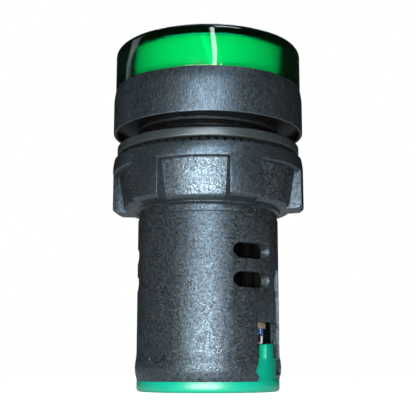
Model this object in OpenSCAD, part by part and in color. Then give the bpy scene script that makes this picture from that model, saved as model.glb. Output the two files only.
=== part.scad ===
// Panel pilot light: a lit indicator for a round hole in a control panel, with two screw terminals.
//
// The axis of the light is Z and the lens is at the top. The origin is on that axis, in the plane of
// the bezel's underside, which bears on the front of the panel. Depths are measured down from there.
// The two terminals lie on either side of the mould's parting plane, X = 0. Lengths are millimetres.

/* [Bezel] */
// How far the bezel, and the nut that matches it, reach past the thread, on the radius
bezel_overhang = 3.6; // [3.2:0.1:4.6]
// Height of the bezel above the panel
bezel_h = 6.7; // [6.4:0.1:8]
// Height of the tapered band at the top of the bezel
bezel_taper_h = 1.5; // [1:0.1:3]
// How far that band draws the bezel in to meet the lens, on the radius
bezel_taper_w = 0.25; // [0.1:0.05:0.5]
// Depth of the cup that holds the lens and the lamp board
cup_depth = 3.5; // [3.2:0.1:3.8]
// Width of the rim that bears on the panel, outside the recess for the gasket
rim_w = 0.55; // [0.4:0.05:0.8]
// Depth of that annular recess
recess_depth = 1.1; // [0.4:0.1:1.3]

/* [Lens] */
// Height of the lens above the bezel
lens_h = 6.45; // [5.5:0.05:8]
// Thickness of the lens's side wall
lens_wall = 2.45; // [2.2:0.05:2.6]
// Thickness of the lens's top
lens_top_t = 1; // [0.8:0.1:1.6]
// Radius of the lens's top edge
lens_edge_r = 0.7; // [0.2:0.1:1]
// Length of the skirt that snaps into the bezel
skirt_len = 2.5; // [2:0.1:3]
// Wall of that skirt
skirt_wall = 0.7; // [0.6:0.05:0.9]
// Radial height of the snap bead round the skirt
snap_h = 0.25; // [0.1:0.05:0.3]
// Wall of the milky diffuser cap under the lens
diffuser_wall = 0.8; // [0.6:0.1:1]
// Gap between the lens and the diffuser
diffuser_gap = 0.15; // [0.1:0.05:0.4]

/* [Neck thread] */
// Diameter over the thread's crests
thread_d = 21.8; // [21.6:0.1:22]
// Pitch of the thread
thread_pitch = 1; // [0.9:0.1:1.2]
// Radial depth of the thread
thread_depth = 0.45; // [0.3:0.05:0.5]
// Width of the flat on each crest
crest_w = 0.4; // [0.2:0.05:0.5]
// Depth of the shoulder at the lower end of the threaded neck
neck_len = 13.2; // [12.5:0.1:15]

/* [Barrel] */
// Drop from the thread's crests to the barrel, so that the nut passes over it
barrel_drop = 0.35; // [0.3:0.05:0.45]
// Thickness of the barrel's wall
barrel_wall = 1.3; // [1:0.05:1.5]
// Depth of the barrel's lower end
barrel_len = 36.9; // [36:0.1:39]
// Radial height of the faint swelling near the lower end
swell_h = 0.22; // [0.05:0.01:0.25]
// Height of the middle of that swelling above the lower end
swell_up = 1.9; // [1.7:0.1:2.2]

/* [Vent slots] */
// Number of slots on each side
vents = 2; // [1:1:2]
// Width of a slot, end to end
vent_w = 6.15; // [4:0.05:7]
// Height of a slot
vent_h = 2.3; // [1.5:0.1:2.8]
// Distance from one slot to the next
vent_step = 4.1; // [3.8:0.1:4.6]
// Depth of the first slot's centre line
vent_depth = 18.7; // [18:0.1:19.5]
// Distance of the slots' middle in front of the plane Y = 0
vent_offset = 4.13; // [4:0.01:4.6]

/* [Wire windows] */
// Width of the window for the wire on each side
window_w = 7.66; // [7:0.02:8.2]
// Height of the window from the barrel's lower end
window_h = 8.3; // [7.8:0.1:8.6]
// How far each side of the window flares out to hold the plug
latch_w = 0.6; // [0.2:0.05:0.7]
// Height of the latching step above the barrel's lower end
latch_up = 0.8; // [0.6:0.05:1]
// Radial depth of the channel above each window
channel_t = 0.45; // [0.2:0.05:0.5]
// Width of that channel, from the window's rear side
channel_w = 3.2; // [2.5:0.1:3.8]
// Length of the channel above the window
channel_len = 7.8; // [6:0.1:8]

/* [Gasket] */
// Clearance of the gasket in the bezel's recess, on the radius
gasket_fit = 0.08; // [0.05:0.01:0.3]
// Thickness of the gasket
gasket_t = 1.4; // [1:0.1:1.8]
// Gap left for the panel between the bezel and the gasket
panel_gap = 1.95; // [1.5:0.05:4]

/* [Mounting nut] */
// Height of the nut without its teeth
nut_h = 7.8; // [7.4:0.1:8.4]
// Wall of the nut at its lower end
nut_wall = 1.25; // [1:0.05:1.5]
// Height of the nut's plain flange
flange_h = 2.2; // [1.9:0.1:2.6]
// Number of teeth that grip the gasket
teeth = 72; // [48:4:80]
// Height of the teeth
tooth_h = 0.75; // [0.4:0.05:0.9]
// Number of lugs
lugs = 6; // [4:1:8]
// Width of a lug
lug_w = 5; // [4:0.1:5.6]
// Angle of the first lug about Z
lug_angle = -40.5; // [-60:0.5:60]
// Running clearance of the nut on the thread, on the radius
nut_fit = 0.05; // [0.02:0.01:0.1]

/* [Terminal plug] */
// Height of the plug's ring below the barrel
ring_h = 1.5; // [1.2:0.1:2.5]
// Radius of the ring's lower edge
ring_edge_r = 0.5; // [0.2:0.1:0.8]
// Height of the plug's floor inside the barrel
plug_floor_h = 2; // [1.6:0.1:2.2]
// Clearance of the screwdriver holes round the screws' heads, on the radius
driver_fit = 0.3; // [0.15:0.05:0.4]
// Distance of the plug's tabs inside the barrel's surface
tab_inset = 0.5; // [0.3:0.05:0.6]
// Thickness of the tabs
tab_t = 1.1; // [1:0.05:1.8]
// Height of the tabs' wide lower part
tab_h = 3.2; // [3:0.1:3.4]
// Width of the tongue on each tab
tongue_w = 3.1; // [2.6:0.1:5]
// Height of the tongue above the wide part
tongue_h = 2; // [1.5:0.1:2.2]
// Thickness of the partition between the terminals
partition_t = 2; // [1.6:0.1:2.2]

/* [Terminals] */
// Diameter of a terminal screw's thread
screw_d = 3.5; // [3:0.1:3.7]
// How much narrower than its plate a screw's head is
head_drop = 0.4; // [0.3:0.1:0.8]
// Height of a screw's head
head_h = 2; // [1.6:0.1:2.2]
// Free length of a screw below its head
screw_len = 4.9; // [4.4:0.1:5]
// Thickness of the terminal plates
plate_t = 0.9; // [0.7:0.05:1]
// Gap between a terminal plate and the partition
plate_gap = 0.4; // [0.3:0.05:0.5]
// Clearance of a plate's outer corners in the bore
plate_fit = 0.74; // [0.7:0.02:0.9]
// Length of a terminal plate
plate_len = 6.8; // [6.6:0.1:7]
// Height of the tail from a plate to its soldered joint
tail_h = 3.45; // [3:0.05:3.5]
// Height of the threaded collar on a plate
collar_h = 1.2; // [0.8:0.1:1.4]
// How much narrower than its plate a wire clamp is
clamp_drop = 1.4; // [1.3:0.1:1.8]
// Length of a wire clamp
clamp_len = 6.4; // [5:0.1:6.6]
// Thickness of a wire clamp
clamp_t = 1; // [0.8:0.05:1.1]
// Opening of the wire clamps
clamp_open = 1; // [0.6:0.05:1.1]
// Running clearance round a screw, on the radius
screw_fit = 0.05; // [0.02:0.01:0.1]

/* [Electronics] */
// Thickness of the round lamp board
lamp_board_t = 1; // [0.8:0.1:1.2]
// Number of lamps in the ring
ring_lamps = 8; // [6:1:9]
// Radius of the ring of lamps
lamp_ring_r = 7; // [6.8:0.1:7.4]
// Length of a lamp
lamp_l = 3.5; // [3:0.1:3.8]
// Width of a lamp
lamp_w = 2.8; // [2:0.1:3]
// Height of a lamp
lamp_h = 1.9; // [1:0.1:2.2]
// Width of a link pin, and of the gap between pins
pin_w = 0.64; // [0.5:0.02:0.7]
// Distance from one link pin to the next
pin_step = 2.54; // [2:0.02:3]
// Thickness of the upright power board
power_board_t = 1.2; // [0.8:0.1:1.4]
// Clearance of the power board's rear corners in the bore
board_fit = 0.3; // [0.2:0.05:0.5]
// Distance of the power board's front face behind the plane Y = 0
power_board_y = 4.2; // [4:0.05:4.3]
// Width of the film capacitor
film_w = 13; // [10:0.5:13]
// Thickness of the film capacitor
film_t = 6; // [4:0.5:8]
// Diameter of the electrolytic capacitor
can_d = 6.3; // [5:0.1:6.5]
// Length of the electrolytic capacitor
can_l = 8; // [5:0.5:9]
// Diameter of a diode
diode_d = 2; // [1.6:0.1:2.4]
// Length of a diode's body
diode_l = 3.6; // [3:0.1:3.8]
// Diameter of the resistor
resistor_d = 2.3; // [1.6:0.1:2.4]
// Length of the resistor's body
resistor_l = 5.2; // [4:0.1:5.6]

/* [Hidden] */
$fn = 96;

// Clearance of parts that are pressed or snapped together, and the overlap of joined solids
fit = 0.1;
join = 0.2;
cut = 20;

thread_r = thread_d / 2;
root_r = thread_r - thread_depth;
bezel_r = thread_r + bezel_overhang;
lens_r = bezel_r - bezel_taper_w;
recess_r = bezel_r - rim_w;
barrel_r = thread_r - barrel_drop;
bore_r = barrel_r - barrel_wall;

// Lens, diffuser and the cup that they sit in
cup_floor_z = bezel_h - cup_depth;
lens_bore_r = lens_r - lens_wall;
skirt_r = lens_bore_r + skirt_wall;
cup_r = skirt_r + fit;
snap_z = bezel_h - skirt_len / 2 - 0.25;
snap_w = 0.6;
lens_ceiling_z = bezel_h + lens_h - lens_top_t;
diffuser_r = lens_bore_r - diffuser_gap;
diffuser_top_z = lens_ceiling_z - diffuser_gap;
diffuser_foot_h = bezel_h - skirt_len - cup_floor_z;
lamp_board_r = diffuser_r - diffuser_wall - fit;
lamp_board_top_z = cup_floor_z + lamp_board_t;

// Thread: rings of one pitch from the recess down to the shoulder
flank_w = (thread_pitch - crest_w) * 0.4;
first_crest_z = 0.25;
crests = 1 + floor((neck_len + first_crest_z - crest_w / 2 - flank_w) / thread_pitch);

// Windows, tabs and the wire clamps behind them, up from the barrel's lower end
foot_z = -barrel_len;
base_z = foot_z - ring_h;
window_top_z = foot_z + window_h;
plug_r = bore_r - fit;
plug_floor_z = foot_z + plug_floor_h;
tab_outer_r = barrel_r - tab_inset;
tab_inner_r = tab_outer_r - tab_t;
tab_gap = 0.08;
latch_slope = 0.45;
latch_peak = 0.65;
tongue_corner = 0.45;

// Terminals: the plates hang level with the top of the windows
plate_w = sqrt(pow(bore_r - plate_fit, 2) - pow(plate_len / 2, 2)) - partition_t / 2 - plate_gap;
screw_spacing = partition_t + 2 * plate_gap + plate_w;
clamp_w = plate_w - clamp_drop;
head_d = plate_w - head_drop;
driver_d = head_d + 2 * driver_fit;
plate_top_z = window_top_z + 0.15;
plate_z = plate_top_z - plate_t;
clamp_top_z = plate_z - clamp_open;
clamp_z = clamp_top_z - clamp_t;
head_z = clamp_z - head_h;
collar_r = screw_d / 2 + 0.75;
tail_w = 2.4;
tail_top_z = plate_top_z + tail_h;
tail_t = 0.8;
partition_top_z = plate_top_z + 0.85;
pillar_w = 0.8;
pillar_len = 1.2;
pillar_y = plate_len / 2 - pillar_len;

// Nut and gasket, down from the gap left for the panel
gasket_z = -panel_gap - gasket_t;
nut_top_z = gasket_z - tooth_h;
nut_z = nut_top_z - nut_h;
nut_bore_r = thread_r + nut_fit;
gasket_r = recess_r - gasket_fit;
gasket_bore_r = thread_r + fit;
nut_r = bezel_r;
nut_foot_r = nut_bore_r + nut_wall;
tooth_len = 1.5;
nut_edge_r = 0.55;

// Power board, from above the terminals up to the lamp board
power_board_w = 2 * sqrt(pow(bore_r - board_fit, 2) - pow(power_board_y + power_board_t, 2));
power_board_z = tail_top_z - 2;
pin_foot_z = -1;

// The parts on its front face, up from the terminals' tails; the film capacitor fills the height left
leg_gap = 0.2;
leg_reach = 0.35;
leg_r = 0.25;
row_gap = 0.9;
diode_step = diode_l + 2 * leg_reach + 0.7;
diode_z = tail_top_z + row_gap + diode_l / 2 + leg_reach + leg_r;
resistor_z = tail_top_z + row_gap + resistor_d / 2;
can_x = -can_d / 2 - 0.25;
can_z = resistor_z + resistor_d / 2 + 0.5 + can_d / 2;
film_low_z = can_z + can_d / 2 + 1.4;
film_top_z = pin_foot_z - 0.6;
film_h = film_top_z - film_low_z;

// A cylinder of radius r that lies along X or Y
module bar_x(r, h) rotate([0, 90, 0]) cylinder(r = r, h = h, center = true);
module bar_y(r, h) rotate([90, 0, 0]) cylinder(r = r, h = h, center = true);

// An outline in the YZ plane, carried along X from -w / 2 to w / 2
module across(w) {
    rotate([90, 0, 90]) translate([0, 0, -w / 2]) linear_extrude(w) children();
}

// A block of w by l by h with its upright edges rounded, centred on the Z axis
module rounded_block(w, l, h, r) {
    translate([-w / 2, -l / 2 + r, 0]) cube([w, l - 2 * r, h]);
    translate([-w / 2 + r, -l / 2, 0]) cube([w - 2 * r, l, h]);
    for (x = [-1, 1], y = [-1, 1])
        translate([x * (w / 2 - r), y * (l / 2 - r), 0]) cylinder(r = r, h = h, $fn = 24);
}

// Points of a quarter circle of radius r about c, from angle a to angle a + 90
function corner(c, r, a, steps = 6) =
    [for (i = [0:steps]) c + r * [cos(a + 90 * i / steps), sin(a + 90 * i / steps)]];

// One crest of the thread, from the root above it to the root below it
function crest(z) = [
    [root_r, z + crest_w / 2 + flank_w], [thread_r, z + crest_w / 2],
    [thread_r, z - crest_w / 2], [root_r, z - crest_w / 2 - flank_w]
];
function thread() = [for (i = [0:crests - 1]) each crest(first_crest_z - i * thread_pitch)];

// One side of the window's outline, from below the barrel up, moved out by g; it flares to a latch
function window_half(g) = [
    [window_w / 2 - latch_w / 6 + g, -join - ring_h], [window_w / 2 - latch_w / 6 + g, latch_up],
    [window_w / 2 + latch_w + g, latch_up + latch_slope], [window_w / 2 + latch_w + g, latch_up + latch_peak],
    [window_w / 2 + g, tab_h - 0.1]
];
// An outline's right side, given from the bottom up, joined to its mirror image
function mirrored(p) = concat(p, [for (i = [len(p) - 1:-1:0]) [-p[i][0], p[i][1]]]);

// The moulded body: bezel, threaded neck and barrel in one piece, with a bore right through
module housing() {
    color("#1b1c1f") difference() {
        rotate_extrude() polygon(concat(
            [[bore_r, foot_z], [bore_r, cup_floor_z], [cup_r, cup_floor_z],
             [cup_r, snap_z - snap_w / 2], [cup_r + snap_h, snap_z],
             [cup_r, snap_z + snap_w / 2], [cup_r, bezel_h], [lens_r, bezel_h],
             [bezel_r, bezel_h - bezel_taper_h], [bezel_r, 0.2], [bezel_r - 0.2, 0],
             [recess_r, 0], [recess_r, recess_depth], [root_r, recess_depth]],
            thread(),
            [[root_r, -neck_len], [barrel_r, -neck_len - 0.1],
             [barrel_r, foot_z + swell_up + 1.7], [barrel_r + swell_h * 0.75, foot_z + swell_up + 0.8],
             [barrel_r + swell_h, foot_z + swell_up], [barrel_r + swell_h * 0.75, foot_z + swell_up - 0.7],
             [barrel_r, foot_z + 0.4], [barrel_r - 0.1, foot_z]]));
        for (i = [0:vents - 1])
            translate([0, -vent_offset, -vent_depth - i * vent_step]) vent();
        translate([0, 0, foot_z]) across(2 * cut)
            polygon(mirrored(concat(window_half(0), [[window_w / 2, window_h]])));
        wire_channel();
    }
}

// The obround cutter of one pair of vent slots
module vent() {
    for (y = [-1, 1]) translate([0, y * (vent_w - vent_h) / 2, 0]) bar_x(vent_h / 2, 2 * cut);
    cube([2 * cut, vent_w - vent_h, vent_h], center = true);
}

// The shallow channel that runs down to each window, with a deeper dimple in it
module wire_channel() {
    top_z = window_top_z + channel_len;
    y0 = window_w / 2 - channel_w;
    difference() {
        translate([-cut, y0, window_top_z - join]) cube([2 * cut, channel_w, channel_len + join]);
        cylinder(r = barrel_r - channel_t, h = 3 * cut, center = true);
    }
    difference() {
        translate([-cut, y0 + 0.45, top_z - 3.1]) cube([2 * cut, channel_w - 0.45, 2.1]);
        cylinder(r = barrel_r - channel_t - 0.3, h = 3 * cut, center = true);
    }
}

// The coloured lens: a flat-topped cap with a skirt that snaps into the bezel
module lens() {
    color([0, 0.45, 0.2, 0.6]) rotate_extrude() polygon(concat(
        [[0, lens_ceiling_z], [lens_bore_r - 0.4, lens_ceiling_z], [lens_bore_r, lens_ceiling_z - 0.4],
         [lens_bore_r, bezel_h - skirt_len], [skirt_r, bezel_h - skirt_len],
         [skirt_r, snap_z - snap_w / 2 + 0.1], [skirt_r + snap_h, snap_z],
         [skirt_r, snap_z + snap_w / 2 - 0.1], [skirt_r, bezel_h], [lens_r, bezel_h]],
        corner([lens_r - lens_edge_r, bezel_h + lens_h - lens_edge_r], lens_edge_r, 0),
        [[0, bezel_h + lens_h]]));
}

// The milky cap over the lamps, held down by the lens's skirt on its foot
module diffuser() {
    color("#dff5e6") rotate_extrude() polygon([
        [0, diffuser_top_z - diffuser_wall], [diffuser_r - diffuser_wall, diffuser_top_z - diffuser_wall],
        [diffuser_r - diffuser_wall, cup_floor_z], [cup_r - fit, cup_floor_z],
        [cup_r - fit, cup_floor_z + diffuser_foot_h], [diffuser_r, cup_floor_z + diffuser_foot_h],
        [diffuser_r, diffuser_top_z - 0.4], [diffuser_r - 0.4, diffuser_top_z], [0, diffuser_top_z]]);
}

// The round board under the diffuser, drilled for the pins from the power board
module lamp_board() {
    color("#e9ece6") difference() {
        translate([0, 0, cup_floor_z]) cylinder(r = lamp_board_r, h = lamp_board_t);
        at_pins() cylinder(r = 0.8 * pin_w, h = cut, center = true, $fn = 24);
    }
}

// The lamps: one in the middle and a ring round it, each a white pack with a round well
module lamps() {
    color("#f4f4ee") translate([0, 0, lamp_board_top_z]) {
        lamp();
        for (i = [0:ring_lamps - 1]) rotate(i * 360 / ring_lamps) translate([lamp_ring_r, 0, 0]) lamp();
    }
}

module lamp() {
    well_r = 0.45 * lamp_w;
    difference() {
        translate([-lamp_l / 2, -lamp_w / 2, 0]) cube([lamp_l, lamp_w, lamp_h]);
        translate([0, 0, 0.7 * lamp_h]) cylinder(r1 = 0.7 * well_r, r2 = well_r, h = 0.35 * lamp_h, $fn = 32);
    }
}

// Places the row of pins that carry the lamp board's supply
module at_pins() {
    for (i = [-1:1]) translate([i * pin_step, power_board_y - pin_w / 2, 0]) children();
}

module link_pins() {
    color("#c9a648") at_pins()
        translate([-pin_w / 2, -pin_w / 2, pin_foot_z])
            cube([pin_w, pin_w, lamp_board_top_z + 0.7 - pin_foot_z]);
}

// The upright board, hung from the lamp board and soldered to the terminals' tails
module power_board() {
    color("#2f6b3c") translate([-power_board_w / 2, power_board_y, power_board_z])
        cube([power_board_w, power_board_t, cup_floor_z - power_board_z]);
}

// Puts a part on the front face of the power board, with its own Z pointing away from the board
module on_board(x, z) {
    translate([x, power_board_y, z]) rotate([90, 0, 0]) children();
}

module film_capacitor() {
    color("#b5402c") on_board(0, (film_low_z + film_top_z) / 2) rounded_block(film_w, film_h, film_t, 0.8);
}

module electrolytic_capacitor() {
    r = can_d / 2;
    color("#23305a") on_board(can_x, can_z) rotate_extrude() polygon([
        [0, 0], [r, 0], [r, 0.9], [r - 0.25, 1.15], [r, 1.4], [r, can_l - 0.3], [r - 0.3, can_l], [0, can_l]]);
}

// An axial part of radius r and length l, laid along Y of its own frame, on two bent legs
module axial_part(r, l) {
    reach = l / 2 + leg_reach;
    translate([0, 0, r + leg_gap]) {
        bar_y(r, l);
        bar_y(leg_r, 2 * reach + 2 * leg_r);
    }
    for (y = [-1, 1]) translate([0, y * reach, 0]) cylinder(r = leg_r, h = r + leg_gap, $fn = 24);
}

module diodes() {
    color("#202022") for (i = [0, 1], j = [0, 1])
        on_board(diode_d * (0.7 + 1.8 * i), diode_z + j * diode_step) axial_part(diode_d / 2, diode_l);
}

module resistor() {
    color("#c8b48a") on_board(can_x, resistor_z) rotate(90) axial_part(resistor_d / 2, resistor_l);
}

// One terminal plate: a threaded collar in the middle and a tail soldered to the board
module terminal(side) {
    x = side * screw_spacing / 2;
    color("#cfcabb") difference() {
        union() {
            translate([x - plate_w / 2, -plate_len / 2, plate_z]) cube([plate_w, plate_len, plate_t]);
            translate([x, 0, plate_z]) cylinder(r = collar_r, h = plate_t + collar_h);
            translate([x - tail_w / 2, plate_len / 2 - join, plate_z])
                cube([tail_w, power_board_y - plate_len / 2 + join, plate_t]);
            translate([x - tail_w / 2, power_board_y - tail_t, plate_z])
                cube([tail_w, tail_t, tail_top_z - plate_z]);
        }
        translate([x, 0, 0]) cylinder(r = screw_d / 2 + screw_fit, h = 4 * cut, center = true);
    }
}

// One wire clamp: a plate with its front and rear edges turned up, captive under the screw's head
module clamp(side) {
    x = side * screw_spacing / 2;
    lip = 0.3;
    color("#d6d3c8") difference() {
        union() {
            translate([x - clamp_w / 2, -clamp_len / 2, clamp_z]) cube([clamp_w, clamp_len, clamp_t]);
            for (y = [-1, 1]) translate([x, y * (clamp_len / 2 - 0.3), clamp_top_z])
                cube([clamp_w, 0.6, 2 * lip], center = true);
        }
        translate([x, 0, 0]) cylinder(r = screw_d / 2 + screw_fit, h = 4 * cut, center = true);
    }
}

// One terminal screw: its head faces down, and has a slot crossed by a shorter one
module screw(side) {
    color("#d9d7cf") translate([side * screw_spacing / 2, 0, clamp_z]) difference() {
        rotate_extrude() polygon(concat(
            [[0, -head_h]], [[head_d / 2 - 0.8, -head_h]],
            [for (i = [1:4]) [head_d / 2 - 0.8 + 0.8 * sin(i * 22.5), -head_h + 0.8 * (1 - cos(i * 22.5))]],
            [[head_d / 2, 0], [screw_d / 2, 0], [screw_d / 2, screw_len - 0.4],
             [screw_d / 2 - 0.4, screw_len], [0, screw_len]]));
        translate([-cut / 2, -0.45, -head_h - join]) cube([cut, 0.9, 1 + join]);
        translate([-0.4, -1.6, -head_h - join]) cube([0.8, 3.2, 1.3 + join]);
    }
}

// The coloured plug: a ring and floor that close the barrel, a partition between the terminals, and
// two tabs that latch in the windows
module terminal_plug() {
    color("#00b38c") difference() {
        union() {
            rotate_extrude() polygon(concat(
                [[0, base_z]],
                [for (p = corner([barrel_r - 0.05 - ring_edge_r, base_z + ring_edge_r], ring_edge_r, 270)) p],
                [[barrel_r - 0.05, foot_z], [plug_r, foot_z], [plug_r, plug_floor_z], [0, plug_floor_z]]));
            intersection() {
                translate([-partition_t / 2, -cut / 2, plug_floor_z - join])
                    cube([partition_t, cut, partition_top_z - plug_floor_z + join]);
                cylinder(r = plug_r, h = 4 * cut, center = true);
            }
            for (x = [-1, 1], y = [-1, 1]) pillar(x, y);
            tabs();
        }
        for (x = [-1, 1]) translate([x * screw_spacing / 2, 0, base_z - cut])
            cylinder(r = driver_d / 2, h = cut + ring_h + plug_floor_h + join);
    }
}

// One of the four ribs on the partition that carry the terminal plates
module pillar(x, y) {
    w = pillar_w + join;
    translate([x * (partition_t / 2 + pillar_w / 2 - join / 2), y * (pillar_y + pillar_len / 2),
               (plug_floor_z - join + plate_z) / 2])
        cube([w, pillar_len, plate_z - plug_floor_z + join], center = true);
}

// The two tabs of the plug, cut from one ring by the outline of the windows
module tabs() {
    intersection() {
        translate([0, 0, foot_z - join]) difference() {
            cylinder(r = tab_outer_r, h = tab_h + tongue_h + join);
            translate([0, 0, -1]) cylinder(r = tab_inner_r, h = cut);
        }
        translate([0, 0, foot_z]) across(2 * cut) polygon(mirrored(concat(
            window_half(-tab_gap),
            [[window_w / 2 - tab_gap, tab_h], [tongue_w / 2, tab_h]],
            corner([tongue_w / 2 - tongue_corner, tab_h + tongue_h - tongue_corner], tongue_corner, 0))));
    }
}

// The gasket between the panel and the nut
module gasket() {
    color("#2a2d2c") rotate_extrude() polygon([
        [gasket_bore_r, gasket_z], [gasket_r - 0.15, gasket_z], [gasket_r, gasket_z + 0.15],
        [gasket_r, gasket_z + gasket_t - 0.15], [gasket_r - 0.15, gasket_z + gasket_t],
        [gasket_bore_r, gasket_z + gasket_t]]);
}

// The mounting nut: a toothed flange over a cone, with lugs for the fingers or a ring spanner
module mounting_nut() {
    flange_z = nut_top_z - flange_h;
    cone_z = nut_z + 0.5;
    color("#232427") difference() {
        union() {
            rotate_extrude() polygon([
                [nut_bore_r - join, nut_top_z], [nut_r - nut_edge_r, nut_top_z], [nut_r, nut_top_z - 2],
                [nut_r, flange_z], [nut_r - 0.25, flange_z - 0.1], [nut_foot_r + 0.5, cone_z],
                [nut_foot_r, nut_z], [nut_bore_r - join, nut_z]]);
            intersection() {
                rotate_extrude() polygon([
                    [nut_bore_r, nut_top_z - 1], [nut_r - 0.3, nut_top_z - 1], [nut_r, nut_top_z - 2],
                    [nut_r, nut_z + 1.3], [nut_r - 0.7, nut_z + 0.6], [nut_foot_r, nut_z],
                    [nut_bore_r, nut_z]]);
                for (i = [0:lugs - 1]) rotate(lug_angle + i * 360 / lugs)
                    translate([nut_bore_r, -lug_w / 2, nut_z]) cube([cut, lug_w, nut_h]);
            }
            for (i = [0:teeth - 1]) rotate(i * 360 / teeth) tooth();
        }
        cylinder(r = nut_bore_r, h = 4 * cut, center = true);
        translate([0, 0, nut_z - join]) cylinder(r1 = nut_bore_r + 0.4 + join, r2 = nut_bore_r, h = 0.4 + join);
    }
}

// One tooth on the nut's upper face, at the rim on the X axis
module tooth() {
    w = PI * 2 * nut_r / teeth * 0.72;
    translate([nut_r - nut_edge_r - tooth_len - 0.05, 0, nut_top_z]) rotate([90, 0, 90])
        linear_extrude(tooth_len) polygon([
            [-w / 2, -join], [w / 2, -join], [w / 2, 0], [w * 0.28, tooth_h], [-w * 0.28, tooth_h],
            [-w / 2, 0]]);
}

housing();
lens();
diffuser();
lamp_board();
lamps();
link_pins();
power_board();
film_capacitor();
electrolytic_capacitor();
diodes();
resistor();
terminal(1);  // terminal_right
terminal(-1);  // terminal_left
clamp(1);  // clamp_right
clamp(-1);  // clamp_left
screw(1);  // screw_right
screw(-1);  // screw_left
terminal_plug();
gasket();
mounting_nut();
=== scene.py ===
"""Panel pilot light: its visible pieces, finishes, floor, lamps and camera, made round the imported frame."""

import math
from types import SimpleNamespace

import bmesh
import bpy
from mathutils import Matrix, Vector


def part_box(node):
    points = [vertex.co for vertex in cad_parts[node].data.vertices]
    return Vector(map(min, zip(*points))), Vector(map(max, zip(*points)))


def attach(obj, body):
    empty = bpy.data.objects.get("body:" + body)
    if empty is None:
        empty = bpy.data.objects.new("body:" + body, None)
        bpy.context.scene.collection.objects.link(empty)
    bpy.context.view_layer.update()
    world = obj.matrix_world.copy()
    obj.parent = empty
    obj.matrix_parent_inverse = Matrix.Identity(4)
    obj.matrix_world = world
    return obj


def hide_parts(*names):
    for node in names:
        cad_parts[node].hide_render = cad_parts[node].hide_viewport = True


bl_info = {
    "name": "Panel Pilot Light",
    "version": (1, 0, 0),
    "blender": (4, 5, 0),
    "location": "3D View > Sidebar > Pilot Light",
    "description": "Makes the pieces, finishes and stage of a panel pilot light",
    "category": "Object",
}

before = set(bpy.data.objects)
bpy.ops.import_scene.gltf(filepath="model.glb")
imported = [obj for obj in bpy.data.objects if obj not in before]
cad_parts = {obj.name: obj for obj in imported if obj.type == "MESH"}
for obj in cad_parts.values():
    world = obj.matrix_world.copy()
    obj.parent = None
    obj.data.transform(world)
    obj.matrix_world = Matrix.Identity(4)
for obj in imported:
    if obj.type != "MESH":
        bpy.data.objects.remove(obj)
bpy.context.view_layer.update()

MM = 0.001
FULL_TURN = 2 * math.pi
SPIN_STEPS = 180
# Angles from which an edge is shaded as sharp, and from which the edges of openings and of the plug are rounded
SHARP_EDGE = math.radians(32)
ROUNDED_EDGE = math.radians(38)


# --- Sizes read from the frame, in millimetres ------------------------------------------------------


def span_of(node):
    """Lowest and highest corner of a CAD node, in millimetres."""
    low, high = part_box(node)
    return low / MM, high / MM


HOUSING_LOW, HOUSING_HIGH = span_of("housing")
LENS_LOW, LENS_HIGH = span_of("lens")
DIFFUSER_LOW, DIFFUSER_HIGH = span_of("diffuser")
GASKET_LOW, GASKET_HIGH = span_of("gasket")
NUT_LOW, NUT_HIGH = span_of("mounting_nut")
PLUG_LOW = span_of("terminal_plug")[0]
BEZEL_R = HOUSING_HIGH.x
BEZEL_TOP = HOUSING_HIGH.z
FOOT = HOUSING_LOW.z
GASKET_R = GASKET_HIGH.x
NUT_R = NUT_HIGH.x


# --- Smaller sizes, in millimetres ------------------------------------------------------------------

# Bezel: the cup for the lens, the taper at the top, and the annular recess in the underside
CUP_R = 12.6
CUP_FLOOR = 3.2
TAPER_H = 1.5
RIM_W = 0.55
RECESS_DEPTH = 1.1
# Barrel: heights of the vents, and middle of the swelling above the foot
VENT_LEVELS = (-18.7, -22.8)
SWELL_UP = 1.9
# Wire channels above the windows, each with a dimple in it; their widths are measured at one radius
CHANNEL_W = 3.2
CHANNEL_H = 7.8
CHANNEL_FLOOR_R = 10.1
DIMPLE_FLOOR_R = 9.8
DIMPLE_SIDE = 0.45
WIDTHS_AT_R = 10.3
# Cutters end beyond the barrel, and the openings lie below one height
CUTTER_R = 12.0
CUTTER_REACH = 20.0
OPENINGS_TOP = -15.0
# Thread: half the flat of its crest, height of a flank, where it starts, and its turns
CREST = 0.2
FLANK = 0.24
THREAD_TOP = 0.65
THREAD_START = math.radians(117.5)
THREAD_TURNS = 13
THREAD_STEPS = 96
# Lens and the cap under it
LENS_TOP_T = 1.0
SKIRT_T = 0.7
CAP_R = 11.65
CAP_T = 0.8
CAP_FLANGE_T = 1.0
GASKET_BORE = 11.0
# Nut: body, teeth on its top, and the space between its lugs
TOOTH_H = 0.75
TOOTH_R = 0.54
TOOTH_L = 1.3
TOOTH_LEAN = 0.9
TEETH_FOOT = NUT_HIGH.z - TOOTH_H
NUT_BORE = 10.95
NUT_FOOT_R = 12.2
FLANGE_LOW = TEETH_FOOT - 2.2
PANEL_DEPTH = 0.95
# Floor: its radius, and how far it lies under the plug
FLOOR_R = 160.0
FLOOR_GAP = 0.03

# Where the light is looked at from: azimuth, distance and height, with the camera's tilt and focal length
VIEW_SIDE = 27.5
VIEW_DISTANCE = 130.65
VIEW_HEIGHT = -34.6
VIEW_TILT = 10.21
FOCAL_LENGTH = 75.4


# --- Sizes and colours that a user can change -------------------------------------------------------


def hex_colour(text):
    """Linear RGBA of an sRGB hex value."""
    parts = [int(text[i : i + 2], 16) / 255 for i in (1, 3, 5)]
    return [p / 12.92 if p <= 0.04045 else ((p + 0.055) / 1.055) ** 2.4 for p in parts] + [1.0]


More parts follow.
